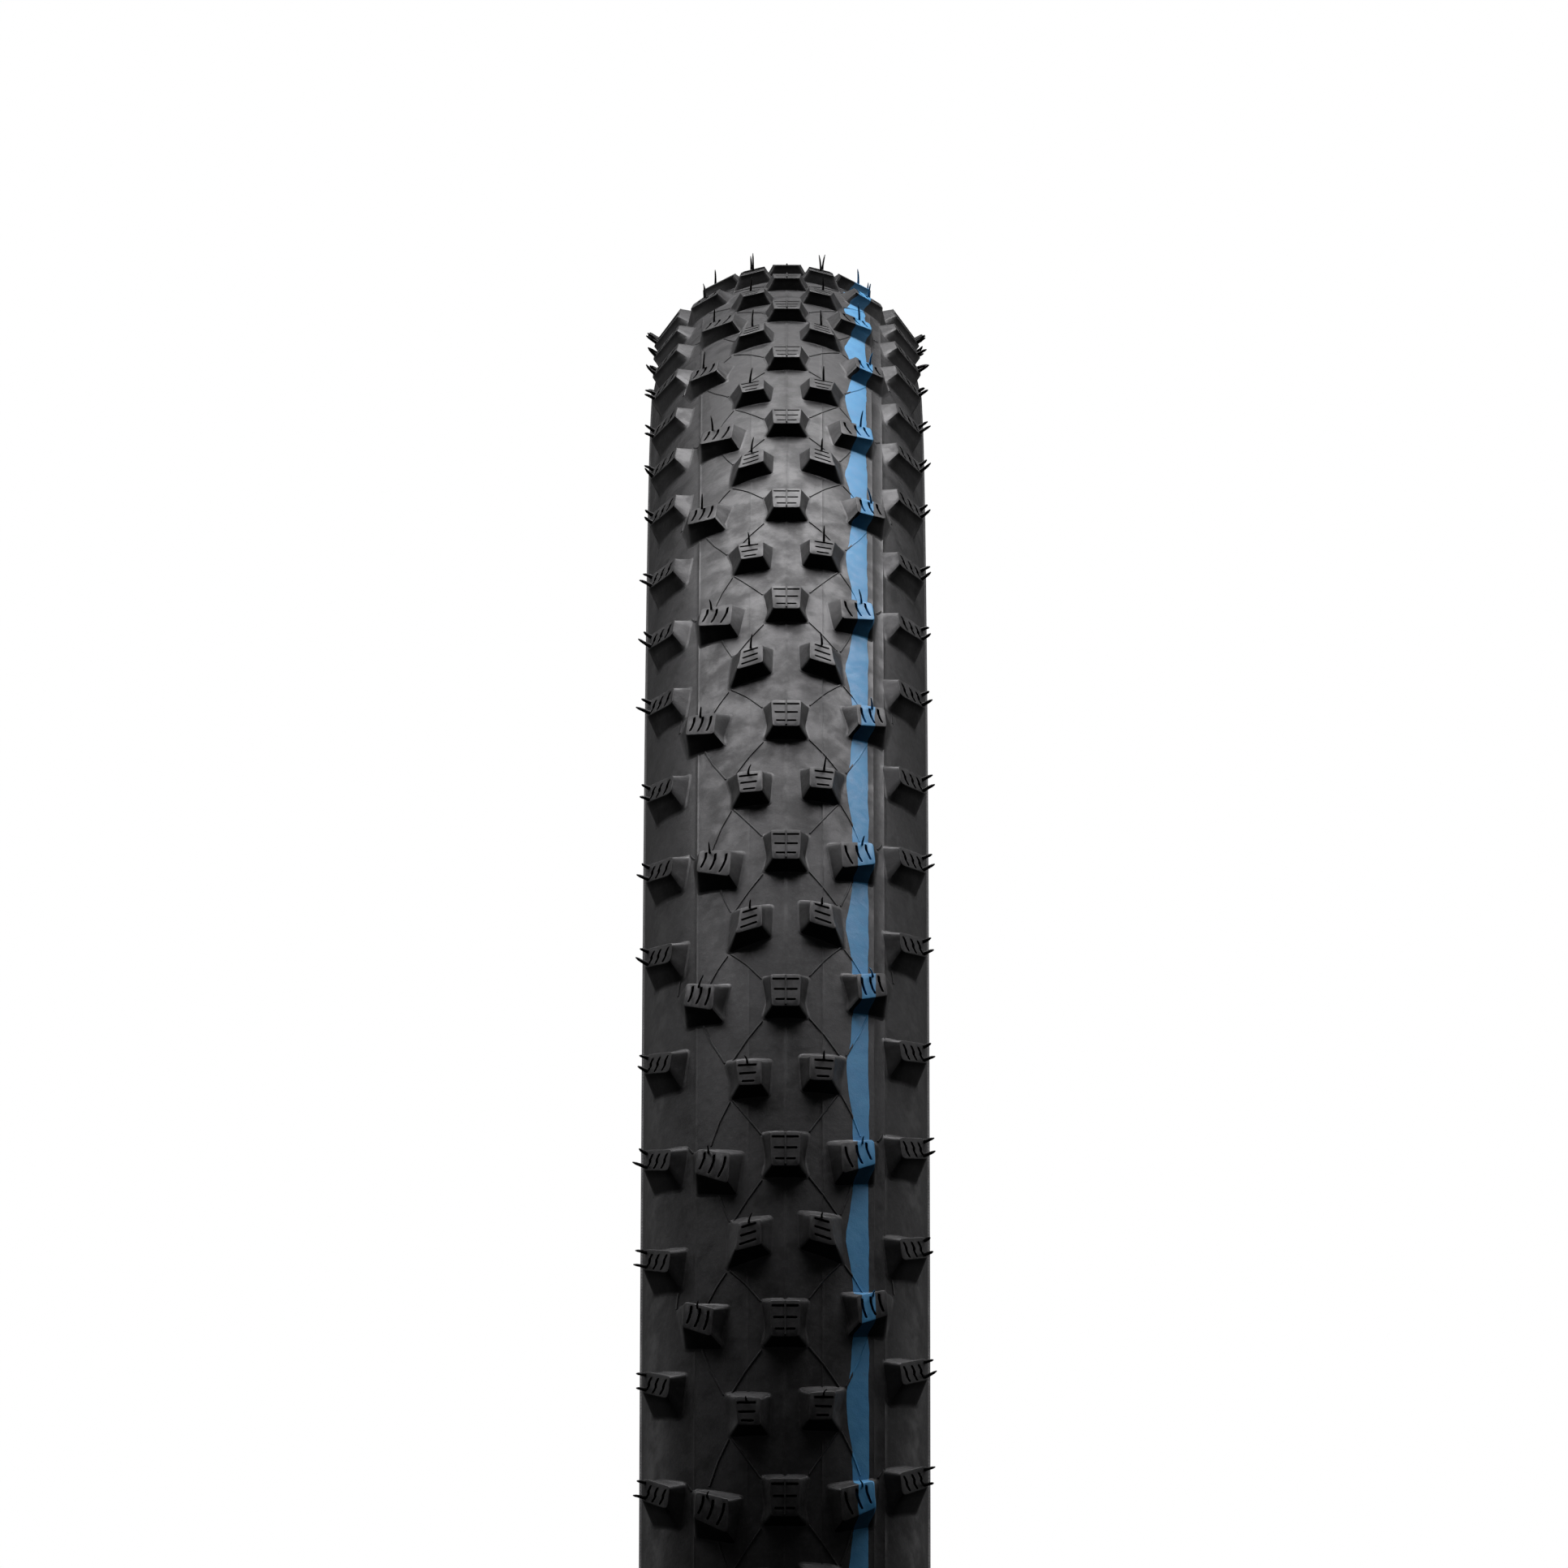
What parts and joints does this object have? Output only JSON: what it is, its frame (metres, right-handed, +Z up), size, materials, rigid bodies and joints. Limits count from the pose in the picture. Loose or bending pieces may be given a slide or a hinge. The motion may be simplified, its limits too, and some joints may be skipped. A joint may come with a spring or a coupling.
{
  "type": "bicycle tire",
  "caption": "Knobby off-road bicycle tire with siped tread blocks in a repeating crossed pattern, moulding hairs, one coloured stripe round the tread and open hook-bead casing.",
  "frame": {"origin": "centre of the wheel: on the axle line, midway between the two beads", "axes": "+Y along the axle, towards the side with the coloured stripe; +Z up; +X towards the pictured front of the tread"},
  "size_m": [0.74, 0.0582, 0.74],
  "materials": {
    "tread_rubber": "satin black tread rubber with a faint bloom",
    "stripe_rubber": "sky-blue coloured rubber marking stripe",
    "sidewall_rubber": "matt black sidewall skin",
    "sidewall_fabric": "dark woven protection fabric",
    "casing_ply": "rubberised nylon cord ply",
    "belt_fabric": "golden aramid breaker cloth",
    "liner_rubber": "smooth butyl-rich liner",
    "bead_cord": "wound aramid cord",
    "filler_rubber": "hard rubber apex",
    "chafer_rubber": "rubberised monofilament chafer"
  },
  "bodies": {
    "root": {"inner_liner": "liner_rubber", "inner_casing_ply": "casing_ply", "outer_casing_ply": "casing_ply", "puncture_belt": "belt_fabric", "tread_base": "tread_rubber", "marking_stripe": "stripe_rubber", "left_ply_turnup": "casing_ply", "right_ply_turnup": "casing_ply", "left_bead_core": "bead_cord", "right_bead_core": "bead_cord", "left_bead_filler": "filler_rubber", "right_bead_filler": "filler_rubber", "left_chafer_strip": "chafer_rubber", "right_chafer_strip": "chafer_rubber", "left_sidewall_fabric": "sidewall_fabric", "right_sidewall_fabric": "sidewall_fabric", "left_sidewall_rubber": "sidewall_rubber", "right_sidewall_rubber": "sidewall_rubber", "center_blocks": "tread_rubber", "left_transition_blocks": "tread_rubber", "right_transition_blocks": "tread_rubber", "left_intermediate_blocks": "tread_rubber", "right_intermediate_blocks": "tread_rubber", "left_side_blocks": "tread_rubber", "right_side_blocks": "tread_rubber", "left_vent_spews": "tread_rubber", "right_vent_spews": "tread_rubber"}
  },
  "joints": []
}
